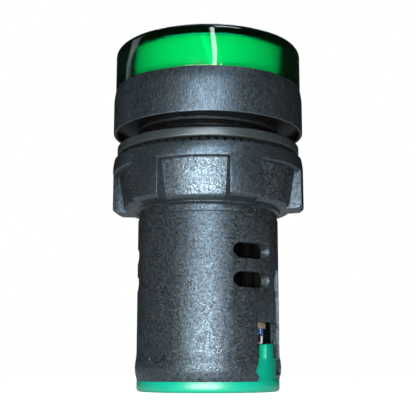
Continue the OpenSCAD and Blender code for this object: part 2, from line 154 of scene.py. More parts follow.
class PilotLightSizes(bpy.types.PropertyGroup):
    """Sizes of the pieces"""

    thread_r: bpy.props.FloatProperty(name="Thread Radius", description="Radius over the thread's crests",
                                      default=10.9 * MM, precision=5, subtype="DISTANCE", unit="LENGTH")
    thread_root_r: bpy.props.FloatProperty(name="Thread Root", description="Radius at the bottom of the thread",
                                           default=10.45 * MM, precision=5, subtype="DISTANCE", unit="LENGTH")
    thread_pitch: bpy.props.FloatProperty(name="Thread Pitch", description="Rise of the thread in one turn",
                                          default=1.0 * MM, precision=5, subtype="DISTANCE", unit="LENGTH")
    neck_foot: bpy.props.FloatProperty(name="Neck Foot", description="Height of the shoulder under the thread",
                                       default=-13.2 * MM, precision=5, subtype="DISTANCE", unit="LENGTH")
    barrel_r: bpy.props.FloatProperty(name="Barrel Radius", description="Radius of the barrel",
                                      default=10.55 * MM, precision=5, subtype="DISTANCE", unit="LENGTH")
    bore_r: bpy.props.FloatProperty(name="Bore Radius", description="Radius inside the barrel",
                                    default=9.25 * MM, precision=5, subtype="DISTANCE", unit="LENGTH")
    swell: bpy.props.FloatProperty(name="Swell", description="Height of the faint swelling near the barrel's foot",
                                   default=0.22 * MM, precision=5, subtype="DISTANCE", unit="LENGTH")
    bezel_edge: bpy.props.FloatProperty(name="Bezel Edge", description="Radius of the bezel's edges",
                                        default=0.22 * MM, precision=5, subtype="DISTANCE", unit="LENGTH")
    vent_w: bpy.props.FloatProperty(name="Vent Width", description="Width of a vent slot",
                                    default=6.15 * MM, precision=5, subtype="DISTANCE", unit="LENGTH")
    vent_h: bpy.props.FloatProperty(name="Vent Height", description="Height of a vent slot",
                                    default=2.3 * MM, precision=5, subtype="DISTANCE", unit="LENGTH")
    vent_y: bpy.props.FloatProperty(name="Vent Offset", description="Middle of the vent slots along Y",
                                    default=-4.13 * MM, precision=5, subtype="DISTANCE", unit="LENGTH")
    vent_edge: bpy.props.FloatProperty(name="Opening Edge", description="Radius of the edges of slots and windows",
                                       default=0.13 * MM, precision=5, subtype="DISTANCE", unit="LENGTH")
    window_w: bpy.props.FloatProperty(name="Window Width", description="Width of a wire window",
                                      default=7.66 * MM, precision=5, subtype="DISTANCE", unit="LENGTH")
    window_h: bpy.props.FloatProperty(name="Window Height", description="Height of a wire window",
                                      default=8.3 * MM, precision=5, subtype="DISTANCE", unit="LENGTH")
    teeth: bpy.props.IntProperty(name="Teeth", description="Number of teeth on the nut", default=72)
    lugs: bpy.props.IntProperty(name="Lugs", description="Number of lugs on the nut", default=6)
    lug_w: bpy.props.FloatProperty(name="Lug Width", description="Width of a lug",
                                   default=4.7 * MM, precision=5, subtype="DISTANCE", unit="LENGTH")
    lug_angle: bpy.props.FloatProperty(name="First Lug", description="Direction of the first lug",
                                       default=math.radians(-41), subtype="ANGLE", unit="ROTATION")
    lens_wall: bpy.props.FloatProperty(name="Lens Wall", description="Thickness of the lens's side wall",
                                       default=2.45 * MM, precision=5, subtype="DISTANCE", unit="LENGTH")
    lens_edge: bpy.props.FloatProperty(name="Lens Edge", description="Radius of the lens's top edge",
                                       default=0.9 * MM, precision=5, subtype="DISTANCE", unit="LENGTH")


class PilotLightColours(bpy.types.PropertyGroup):
    """Colours of the finishes"""

    black_moulding: bpy.props.FloatVectorProperty(name="Housing", description="Glass-filled nylon of the housing",
                                                  default=hex_colour("#0e1214"), size=4, min=0, max=1, subtype="COLOR")
    black_nut: bpy.props.FloatVectorProperty(name="Nut", description="Nylon of the nut",
                                             default=hex_colour("#0f1315"), size=4, min=0, max=1, subtype="COLOR")
    gloss_tint: bpy.props.FloatVectorProperty(name="Sheen", description="Cool tint of the black nylon's sheen",
                                              default=hex_colour("#c1e4ff"), size=4, min=0, max=1, subtype="COLOR")
    black_rubber: bpy.props.FloatVectorProperty(name="Gasket", description="Rubber of the gasket",
                                                default=hex_colour("#1c2122"), size=4, min=0, max=1, subtype="COLOR")
    green_lens: bpy.props.FloatVectorProperty(name="Lens", description="Polycarbonate of the lens",
                                              default=hex_colour("#00ffe0"), size=4, min=0, max=1, subtype="COLOR")
    milky_cap: bpy.props.FloatVectorProperty(name="Diffuser", description="Milky cap under the lens",
                                             default=hex_colour("#d8e2d8"), size=4, min=0, max=1, subtype="COLOR")
    green_plug: bpy.props.FloatVectorProperty(name="Plug", description="Polycarbonate of the terminal plug",
                                              default=hex_colour("#009d80"), size=4, min=0, max=1, subtype="COLOR")
    floor: bpy.props.FloatVectorProperty(name="Floor", description="Pale floor",
                                         default=hex_colour("#e8e8e8"), size=4, min=0, max=1, subtype="COLOR")


# Linear colours of the fibres in the nylon, of dust, and of the room as it shows in gloss
FIBRES = hex_colour("#878d92")
DUST = hex_colour("#9aa4a8")
DIM_ROOM = (0.008, 0.009, 0.01, 1.0)


def property_names(group):
    return [name for name in group.bl_rna.properties.keys() if name not in ("rna_type", "name")]


def sizes():
    """The sizes that a user can change, with the lengths in millimetres."""
    group = bpy.context.scene.pilot_light_sizes
    values = {}
    for name in property_names(group):
        value = getattr(group, name)
        values[name] = round(value / MM, 4) if group.bl_rna.properties[name].unit == "LENGTH" else value
    return SimpleNamespace(**values)


def colours():
    return bpy.context.scene.pilot_light_colours


# --- Node helpers -----------------------------------------------------------------------------------


def add_node(tree, kind, inputs=None, **settings):
    """Adds a node with its settings; inputs maps a socket's name or number to a value or to an output to link."""
    node = tree.nodes.new(kind)
    for name, value in settings.items():
        setattr(node, name, value)
    for key, value in (inputs or {}).items():
        socket = node.inputs[key]
        if isinstance(value, bpy.types.NodeSocket):
            tree.links.new(value, socket)
        else:
            socket.default_value = value
    return node


def new_material(name):
    material = bpy.data.materials.new(name)
    material.use_nodes = True
    material.node_tree.nodes.clear()
    return material, material.node_tree


def close_material(tree, shader):
    add_node(tree, "ShaderNodeOutputMaterial", {"Surface": shader})


def principled(tree, inputs):
    """Closes the material with one principled shader."""
    close_material(tree, add_node(tree, "ShaderNodeBsdfPrincipled", inputs).outputs["BSDF"])


def shade(value):
    return (value, value, value, 1.0)


def scaled(colour, factor):
    """A linear colour made lighter or darker."""
    return [min(1.0, part * factor) for part in colour[:3]] + [1.0]


def per_mm(size):
    """Scale of a texture node whose features are this many millimetres apart, on Object coordinates in metres."""
    return 1 / (size * MM)


def object_coordinates(tree):
    return add_node(tree, "ShaderNodeTexCoord").outputs["Object"]


def height_of(tree, place):
    return add_node(tree, "ShaderNodeSeparateXYZ", {"Vector": place}).outputs["Z"]


def stretched(tree, place, scale):
    return add_node(tree, "ShaderNodeMapping", {"Vector": place, "Scale": scale}).outputs["Vector"]


def noise(tree, place, size, detail, dimensions="3D", **inputs):
    """Noise whose features are this many millimetres apart."""
    inputs = {"Vector": place, "Scale": per_mm(size), "Detail": detail, **inputs}
    return add_node(tree, "ShaderNodeTexNoise", inputs, noise_dimensions=dimensions).outputs["Fac"]


def cells(tree, place, size):
    """The outputs of Voronoi cells this many millimetres apart."""
    return add_node(tree, "ShaderNodeTexVoronoi", {"Vector": place, "Scale": per_mm(size), "Randomness": 1.0}).outputs


def bump(tree, height, depth, **inputs):
    """A normal bent by a height of up to this many millimetres."""
    inputs = {"Height": height, "Strength": 1.0, "Distance": depth * MM, **inputs}
    return add_node(tree, "ShaderNodeBump", inputs).outputs["Normal"]


def blend(tree, factor, first, second):
    """A mix of two colours."""
    mix = add_node(tree, "ShaderNodeMix", {"Factor": factor, "A": first, "B": second}, data_type="RGBA")
    return mix.outputs["Result"]


def calculate(tree, operation, first, second):
    return add_node(tree, "ShaderNodeMath", {0: first, 1: second}, operation=operation).outputs["Value"]


def mapped(tree, value, start, end, low=0.0, high=1.0, **settings):
    """The value carried from the range low to high to the range start to end."""
    inputs = {"Value": value, "From Min": low, "From Max": high, "To Min": start, "To Max": end}
    return add_node(tree, "ShaderNodeMapRange", inputs, **settings).outputs["Result"]


def colour_ramp(tree, factor, stops):
    ramp = add_node(tree, "ShaderNodeValToRGB", {"Fac": factor})
    elements = ramp.color_ramp.elements
    while len(elements) < len(stops):
        elements.new(0.5)
    for element, (place, colour) in zip(elements, stops):
        element.position = place
        element.color = colour
    return ramp.outputs["Color"]


# --- Materials --------------------------------------------------------------------------------------


def moulded_nylon(name, base, grain=0.14, depth=0.02, sparkle=0.1, fleck=0.07, roughness=0.42, shine=1.0,
                  stretch=1.0, ior=1.65, dull=0.2):
    """Black glass-filled nylon moulded in a spark-eroded tool: a dark body under a broad cool sheen, which
    breaks into grains where the eroded texture catches the light. The grain is drawn coarser than the real one.

    The grain and its depth are in millimetres, and stretch makes it longer along Z. Sparkle is the spread of
    roughness from grain to grain, fleck the strength of the pale fibres, and dull the sheen of the dullest grain.
    """
    material, tree = new_material(name)
    place = object_coordinates(tree)
    drawn = stretched(tree, place, (1.0, 1.0, 1 / stretch))
    relief = noise(tree, drawn, grain, 1.0, Roughness=0.7)
    glint = add_node(tree, "ShaderNodeSeparateColor", {"Color": cells(tree, drawn, grain)["Color"]}).outputs
    sheen = colours().gloss_tint
    gleam = blend(tree, glint["Blue"], scaled(sheen, dull), sheen)
    # The body is cloudy, and glass fibres near the surface show as pale flecks
    ground = blend(tree, noise(tree, place, 6.0, 4.0, Roughness=0.6), base, scaled(base, 1.4))
    fibres = colour_ramp(tree, glint["Green"], [(0.5, shade(0.0)), (1.0, shade(fleck))])
    body = blend(tree, fibres, ground, FIBRES)
    # Specks of dust lie in patches
    specks = colour_ramp(tree, cells(tree, place, 1.7)["Distance"],
                         [(0.0, shade(1.0)), (0.045, shade(1.0)), (0.06, shade(0.0))])
    patches = colour_ramp(tree, noise(tree, place, 4.0, 2.0), [(0.58, shade(0.0)), (0.62, shade(1.0))])
    dusty = blend(tree, calculate(tree, "MULTIPLY", specks, patches), body, DUST)
    principled(tree, {
        "Base Color": dusty, "Roughness": mapped(tree, glint["Red"], roughness - sparkle, roughness + sparkle),
        "IOR": ior, "Specular IOR Level": shine, "Specular Tint": gleam, "Normal": bump(tree, relief, depth)})
    return material


def moulded_rubber(name, base, tint):
    """Black nitrile rubber, moulded smooth: a soft, nearly even sheen with a trace of bloom."""
    material, tree = new_material(name)
    place = object_coordinates(tree)
    principled(tree, {
        "Base Color": blend(tree, noise(tree, place, 2.0, 5.0), base, scaled(base, 2.0)), "Roughness": 0.38,
        "IOR": 1.55, "Specular IOR Level": 1.0, "Specular Tint": tint,
        "Normal": bump(tree, noise(tree, place, 0.3, 2.0), 0.006)})
    return material


def clear_lens(name, tint):
    """Transparent green polycarbonate, moulded and a little scratched: clear and glossy, deep green where thick."""
    material, tree = new_material(name)
    place = object_coordinates(tree)
    wave = noise(tree, place, 5.0, 1.0)
    scratch = noise(tree, stretched(tree, place, (1.0, 1.0, 0.12)), 0.25, 2.0)
    # The wall is rippled from the mould, and the face on top is nearly flat
    ripple = noise(tree, place, 7.5, 0.0, "4D", W=17.0)
    calm = mapped(tree, height_of(tree, place), 1.0, 0.03, (LENS_HIGH.z - 0.35) * MM, (LENS_HIGH.z - 0.05) * MM)
    rippled = bump(tree, ripple, 0.85, Strength=calm)
    glass = add_node(tree, "ShaderNodeBsdfPrincipled", {
        "Base Color": tint, "Roughness": 0.11, "IOR": 1.49, "Transmission Weight": 1.0, "Specular Tint": shade(0.0),
        "Coat Weight": 1.0, "Coat Roughness": 0.05, "Coat IOR": 1.7, "Normal": bump(tree, wave, 0.1),
        "Coat Normal": bump(tree, scratch, 0.002, Normal=rippled)})
    # The lens lets the lamps' light through to the cap behind it, tinted by its green
    through = add_node(tree, "ShaderNodeBsdfTransparent", {"Color": tint})
    path = add_node(tree, "ShaderNodeLightPath").outputs
    unseen = calculate(tree, "MAXIMUM", path["Is Shadow Ray"], path["Is Diffuse Ray"])
    mix = add_node(tree, "ShaderNodeMixShader", {"Fac": unseen, 1: glass.outputs["BSDF"], 2: through.outputs["BSDF"]})
    inside = add_node(tree, "ShaderNodeVolumeAbsorption", {"Color": (0.0, 0.8, 0.6, 1.0), "Density": 800.0})
    add_node(tree, "ShaderNodeOutputMaterial", {"Surface": mix.outputs["Shader"], "Volume": inside.outputs["Volume"]})
    return material


def milky_plastic(name, base):
    """Opal polycarbonate of the diffuser: an even, chalky white with a painted green glow, which fades out towards its
    top edge as painted shade.
    """
    material, tree = new_material(name)
    place = object_coordinates(tree)
    top = DIFFUSER_HIGH.z
    principled(tree, {
        "Base Color": blend(tree, noise(tree, place, 5.0, 2.0), base, scaled(base, 0.9)), "Roughness": 0.45,
        # Painted glow: green light from the cap although the lamps inside give none, fading near its top as painted
        # shade
        "IOR": 1.58, "Emission Color": (0.0, 1.0, 0.58, 1.0),
        "Emission Strength": mapped(tree, height_of(tree, place), 0.2, 0.008, (top - 1.5) * MM, top * MM,
                                    interpolation_type="SMOOTHSTEP")})
    return material


def glossy_moulding(name, base):
    """Coloured polycarbonate moulded in a polished tool: saturated, half-glossy, with faint flow marks."""
    material, tree = new_material(name)
    place = object_coordinates(tree)
    skin = noise(tree, place, 0.35, 2.0)
    principled(tree, {
        "Base Color": blend(tree, noise(tree, place, 2.5, 3.0), base, scaled(base, 0.86)),
        "Roughness": mapped(tree, skin, 0.26, 0.42), "IOR": 1.58, "Normal": bump(tree, skin, 0.02)})
    return material


def plated_metal(name, text, grain, roughness):
    """Plated steel or brass, stamped and barrel-plated: bright metal with faint drawn lines and stains."""
    material, tree = new_material(name)
    place = object_coordinates(tree)
    base = hex_colour(text)
    lines = noise(tree, stretched(tree, place, (1.0, 0.15, 1.0)), grain, 3.0)
    principled(tree, {
        "Base Color": blend(tree, noise(tree, place, 2.0, 3.0), base, scaled(base, 0.75)), "Metallic": 1.0,
        "Roughness": mapped(tree, lines, roughness - 0.08, roughness + 0.1),
        "Normal": bump(tree, lines, 0.01, Strength=0.6)})
    return material


def lacquered(name, text, grain, roughness, depth=0.01, coat=0.0, shine=0.5):
    """Painted, lacquered, sleeved or resin-dipped parts of the electronics: an even colour with slight unevenness."""
    material, tree = new_material(name)
    base = hex_colour(text)
    patch = noise(tree, object_coordinates(tree), grain, 4.0)
    principled(tree, {
        "Base Color": blend(tree, patch, base, scaled(base, 0.72)), "Roughness": roughness, "IOR": 1.5,
        "Specular IOR Level": shine, "Coat Weight": coat, "Coat Roughness": 0.1, "Normal": bump(tree, patch, depth)})
    return material


# --- Mesh helpers, all in millimetres until a piece is finished -------------------------------------


def tidy(bm):
    """Merges doubles, closes up and points every face outwards."""
    bmesh.ops.remove_doubles(bm, verts=bm.verts[:], dist=0.0004)
    bmesh.ops.dissolve_degenerate(bm, edges=bm.edges[:], dist=0.0004)
    bmesh.ops.recalc_face_normals(bm, faces=bm.faces[:])


def edges_in(geometry):
    return [item for item in geometry if isinstance(item, bmesh.types.BMEdge)]


def shift(bm, vec):
    bmesh.ops.translate(bm, verts=bm.verts[:], vec=vec)


def turn(bm, angle):
    """Turns the bmesh about Z."""
    bmesh.ops.rotate(bm, verts=bm.verts[:], cent=(0, 0, 0), matrix=Matrix.Rotation(angle, 3, "Z"))


def extrude(bm, vec):
    """Makes a solid of the bmesh's faces, carried along a vector."""
    made = bmesh.ops.extrude_face_region(bm, geom=bm.faces[:])
    bmesh.ops.translate(bm, verts=[g for g in made["geom"] if isinstance(g, bmesh.types.BMVert)], vec=vec)
    tidy(bm)


def outline(points, rounding=None):
    """A bmesh of one closed outline in the XZ plane; rounding maps a point's number to its corner radius."""
    bm = bmesh.new()
    verts = [bm.verts.new((x, 0.0, z)) for x, z in points]
    for a, b in zip(verts, verts[1:] + verts[:1]):
        bm.edges.new((a, b))
    by_radius = {}
    for number, radius in (rounding or {}).items():
        by_radius.setdefault(radius, []).append(verts[number])
    for radius, corners in by_radius.items():
        bmesh.ops.bevel(bm, geom=corners, offset=radius, offset_type="OFFSET", segments=4, profile=0.5,
                        affect="VERTICES", material=-1)
    return bm


def mirrored(points):
    """An outline in (y, z) seen from the other side of the Z axis."""
    return [(-y, z) for y, z in reversed(points)]


def lathe(points, rounding=None, steps=SPIN_STEPS):
    """A closed solid of revolution about Z from a closed outline."""
    bm = outline(points, rounding)
    bmesh.ops.spin(bm, geom=bm.verts[:] + bm.edges[:], cent=(0, 0, 0), axis=(0, 0, 1), angle=FULL_TURN,
                   steps=steps, use_merge=True)
    tidy(bm)
    return bm


def sector(points, start, end, steps, rise=0.0):
    """A solid from a closed outline turned about Z from one angle to another, with flat ends; rise is per step."""
    bm = outline(points)
    turn(bm, start)
    first = bm.edges[:]
    made = bmesh.ops.spin(bm, geom=bm.verts[:] + bm.edges[:], cent=(0, 0, 0), axis=(0, 0, 1), dvec=(0, 0, rise),
                          angle=end - start, steps=steps)
    for ring in (first, edges_in(made["geom_last"])):
        bmesh.ops.contextual_create(bm, geom=ring)
    tidy(bm)
    return bm


def prism(points, low_x, high_x):
    """A solid with the outline (y, z), carried along X."""
    bm = bmesh.new()
    bm.faces.new([bm.verts.new((low_x, y, z)) for y, z in points])
    extrude(bm, (high_x - low_x, 0, 0))
    return bm


def join_bmesh(parts):
    """One bmesh from several, which are freed."""
    whole = bmesh.new()
    for part in parts:
        mesh = bpy.data.meshes.new("part")
        part.to_mesh(mesh)
        part.free()
        whole.from_mesh(mesh)
        bpy.data.meshes.remove(mesh)
    return whole


def spare_object(bm, name):
    """An object made of the bmesh, which is freed."""
    mesh = bpy.data.meshes.new(name)
    bm.to_mesh(mesh)
    bm.free()
    spare = bpy.data.objects.new(name, mesh)
    bpy.context.scene.collection.objects.link(spare)
    return spare


def carve(bm, cutters):
    """Cuts each cutter out of the bmesh with exact booleans, and returns the cut bmesh."""
    blank = spare_object(bm, "blank")
    tools = [spare_object(cutter, "cutter") for cutter in cutters]
    for tool in tools:
        step = blank.modifiers.new("Cut", "BOOLEAN")
        step.operation = "DIFFERENCE"
        step.solver = "EXACT"
        step.object = tool
    bpy.context.view_layer.update()
    cut = bpy.data.meshes.new_from_object(blank.evaluated_get(bpy.context.evaluated_depsgraph_get()))
    done = bmesh.new()
    done.from_mesh(cut)
    for item in (blank, *tools):
        data = item.data
        bpy.data.objects.remove(item)
        bpy.data.meshes.remove(data)
    bpy.data.meshes.remove(cut)
    bmesh.ops.remove_doubles(done, verts=done.verts[:], dist=0.004)
    bmesh.ops.dissolve_degenerate(done, edges=done.edges[:], dist=0.004)
    return done


def merged_copy(node):
    """A bmesh of a CAD node's mesh in millimetres, with its loose triangles merged."""
    bm = bmesh.new()
    bm.from_mesh(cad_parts[node].data)
    bmesh.ops.scale(bm, vec=(1 / MM,) * 3, verts=bm.verts[:])
    bmesh.ops.remove_doubles(bm, verts=bm.verts[:], dist=0.002)
    bmesh.ops.dissolve_limit(bm, angle_limit=math.radians(0.2), verts=bm.verts[:], edges=bm.edges[:])
    return bm


def sharp_edges(bm, least=SHARP_EDGE, test=lambda edge: True):
    return [e for e in bm.edges if len(e.link_faces) == 2 and e.calc_face_angle(0.0) > least and test(e)]


def soften(bm, edges, radius, segments=2):
    """Rounds sharp edges."""
    bmesh.ops.bevel(bm, geom=edges, offset=radius, offset_type="OFFSET", segments=segments, profile=0.5,
                    affect="EDGES", clamp_overlap=True, material=-1)


def finish_piece(bm, name, materials, nodes, body):
    """Turns the bmesh to metres and makes it a piece that stands for its CAD nodes and rides on their body."""
    for face in bm.faces:
        face.smooth = True
    for edge in sharp_edges(bm):
        edge.smooth = False
    bmesh.ops.scale(bm, vec=(MM, MM, MM), verts=bm.verts[:])
    mesh = bpy.data.meshes.new(name)
    bm.to_mesh(mesh)
    bm.free()
    for material in materials:
        mesh.materials.append(material)
    piece = bpy.data.objects.new(name, mesh)
    bpy.context.scene.collection.objects.link(piece)
    if nodes:
        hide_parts(*nodes)
    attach(piece, body)


# --- Operators --------------------------------------------------------------------------------------


class PILOT_OT_housing(bpy.types.Operator):
    """Make the moulded housing: bezel, threaded neck, and the barrel with its vents, channels and windows"""

    bl_idname = "pilot.housing"
    bl_label = "Housing"

    def execute(self, context):
        s = sizes()
        cutters = [self.vent(s, level) for level in VENT_LEVELS] + [self.window(s)] + self.channels(s)
        body = carve(self.blank(s), cutters)
        outer = s.bore_r + 0.4

        def on_opening(edge):
            a, b = (v.co for v in edge.verts)
            round_foot = abs(a.z - b.z) < 0.02 and abs(a.xy.length - b.xy.length) < 0.004 and a.z < FOOT + 0.5
            return not round_foot and all(v.z < OPENINGS_TOP and v.xy.length > outer for v in (a, b))

        soften(body, sharp_edges(body, ROUNDED_EDGE, on_opening), s.vent_edge)
        whole = join_bmesh([body, self.thread(s)])
        for face in whole.faces:
            # Faces in the groove under the bezel, except the thread's lit crest, take a darker copy of the nylon with
            # almost no sheen: painted shade
            spot = face.calc_center_median()
            lit_crest = abs(spot.xy.length - s.thread_r) < 0.1 and spot.z > -0.25
            in_groove = GASKET_HIGH.z < spot.z < RECESS_DEPTH + 0.1 and spot.xy.length < BEZEL_R - 0.2
            if in_groove and not lit_crest:
                face.material_index = 1
            elif spot.z > 0:
                face.material_index = 2
        black = colours().black_moulding
        finish_piece(whole, "moulded_housing", [
            moulded_nylon("Black nylon, spark-eroded", black, grain=0.16, depth=0.03, sparkle=0.16, fleck=0.12),
            # A darker base and almost no sheen: painted shade in the groove
            moulded_nylon("Black nylon, painted shade in the groove", hex_colour("#08090a"), grain=0.16, sparkle=0.05,
                          fleck=0.03, roughness=0.4, shine=0.1),
            moulded_nylon("Black nylon, satin on the bezel", black, sparkle=0.08, stretch=2.4, dull=0.45),
        ], ["housing"], "light")
        return {"FINISHED"}

    def blank(self, s):
        """The housing turned about Z, before its openings are cut and its thread is added."""
        head, rim, middle, swollen = s.thread_root_r, BEZEL_R - RIM_W, FOOT + SWELL_UP, s.barrel_r + s.swell * 0.75
        return lathe(
            [
                (s.bore_r, FOOT), (s.bore_r, CUP_FLOOR), (CUP_R, CUP_FLOOR), (CUP_R, BEZEL_TOP),
                (LENS_HIGH.x + 0.02, BEZEL_TOP), (BEZEL_R, BEZEL_TOP - TAPER_H), (BEZEL_R, 0.0), (rim, 0.0),
                (rim, RECESS_DEPTH), (head, RECESS_DEPTH), (head, GASKET_HIGH.z), (head, s.neck_foot),
                (s.barrel_r, s.neck_foot - 0.1), (s.barrel_r, middle + 1.7), (swollen, middle + 0.8),
                (s.barrel_r + s.swell, middle), (swollen, middle - 0.7), (s.barrel_r, FOOT + 0.4),
                (s.barrel_r - 0.1, FOOT),
            ],
            {4: 0.1, 5: 0.35, 6: s.bezel_edge, 7: 0.12, 12: 0.12, 13: 0.6, 17: 0.15},
        )

    def vent(self, s, level):
        """A slot with round ends through both sides of the barrel."""
        slot = bmesh.new()
        ring = bmesh.ops.create_circle(slot, cap_ends=False, radius=s.vent_h / 2, segments=32,
                                       matrix=Matrix.Rotation(math.pi / 2, 4, "Y"))
        for vert in ring["verts"]:
            if abs(vert.co.y) > 1e-6:
                vert.co.y += math.copysign((s.vent_w - s.vent_h) / 2, vert.co.y)
        shift(slot, (-CUTTER_REACH, s.vent_y, level))
        bmesh.ops.contextual_create(slot, geom=slot.edges[:])
        extrude(slot, (2 * CUTTER_REACH, 0, 0))
        return slot

    def window(self, s):
        """The wire windows in both sides of the barrel, flared near the foot."""
        half, flare = s.window_w / 2, 0.6
        narrow, wide = half - flare / 6, half + flare
        side = [(narrow, -2.0), (narrow, 0.8), (wide, 1.25), (wide, 1.45), (half, 3.1), (half, s.window_h)]
        side = [(y, FOOT + z) for y, z in side]
        return prism(side + mirrored(side), -CUTTER_REACH, CUTTER_REACH)

    def channels(self, s):
        """The wire channel above each window, and the dimple in it."""
        half = s.window_w / 2
        front = half - CHANNEL_W
        low, top = FOOT + s.window_h - 0.2, FOOT + s.window_h + CHANNEL_H
        cutters = []
        for heading, way in ((0.0, 1), (math.pi, -1)):
            for y, floor_r, z0, z1 in ((front, CHANNEL_FLOOR_R, low, top),
                                       (front + DIMPLE_SIDE, DIMPLE_FLOOR_R, top - 3.1, top - 1.0)):
                a, b = sorted(heading + way * math.asin(edge / WIDTHS_AT_R) for edge in (y, half))
                cutters.append(sector([(floor_r, z0), (CUTTER_R, z0), (CUTTER_R, z1), (floor_r, z1)], a, b, 12))
        return cutters

    def thread(self, s):
        """The helical ridge of the neck's thread, as a shell of its own that sinks into the neck."""
        root, sunk, half = s.thread_root_r, s.thread_root_r - 0.1, CREST + FLANK
        ridge = [(sunk, half), (root, half), (s.thread_r, CREST), (s.thread_r, -CREST), (root, -half), (sunk, -half)]
        return sector([(r, z + THREAD_TOP) for r, z in ridge], THREAD_START, THREAD_START + FULL_TURN * THREAD_TURNS,
                      THREAD_STEPS * THREAD_TURNS, -s.thread_pitch / THREAD_STEPS)


class PILOT_OT_lens(bpy.types.Operator):
    """Make the coloured lens and the milky cap under it"""

    bl_idname = "pilot.lens"
    bl_label = "Lens"

    def execute(self, context):
        s = sizes()
        r, low, top = LENS_HIGH.x, LENS_LOW.z, LENS_HIGH.z
        bore, ceiling = r - s.lens_wall, top - LENS_TOP_T
        skirt = bore + SKIRT_T
        lens = lathe([(0.0, ceiling), (bore, ceiling), (bore, low), (skirt, low), (skirt, BEZEL_TOP), (r, BEZEL_TOP),
                      (r, top), (0.0, top)], {1: 0.4, 5: 0.08, 6: s.lens_edge})
        finish_piece(lens, "green_lens", [clear_lens("Green polycarbonate, clear", colours().green_lens)],
                     ["lens"], "light")
        floor, foot_r, cap_top = DIFFUSER_LOW.z, DIFFUSER_HIGH.x, DIFFUSER_HIGH.z
        inner, under, flange = CAP_R - CAP_T, cap_top - CAP_T, floor + CAP_FLANGE_T
        cap = lathe([(0.0, under), (inner, under), (inner, floor), (foot_r, floor), (foot_r, flange), (CAP_R, flange),
                     (CAP_R, cap_top), (0.0, cap_top)], {6: 0.4, 1: 0.3})
        finish_piece(cap, "diffuser_cap", [milky_plastic("Opal polycarbonate", colours().milky_cap)],
                     ["diffuser"], "light")
        return {"FINISHED"}


class PILOT_OT_gasket(bpy.types.Operator):
    """Make the rubber gasket"""

    bl_idname = "pilot.gasket"
    bl_label = "Gasket"

    def execute(self, context):
        low, top = GASKET_LOW.z, GASKET_HIGH.z
        ring = lathe([(GASKET_BORE, low), (GASKET_R, low), (GASKET_R, top), (GASKET_BORE, top)],
                     {1: 0.3, 2: 0.3, 0: 0.1, 3: 0.1})
        rubber = moulded_rubber("Black nitrile rubber", colours().black_rubber, hex_colour("#b8cdd8"))
        finish_piece(ring, "rubber_gasket", [rubber], ["gasket"], "gasket")
        return {"FINISHED"}


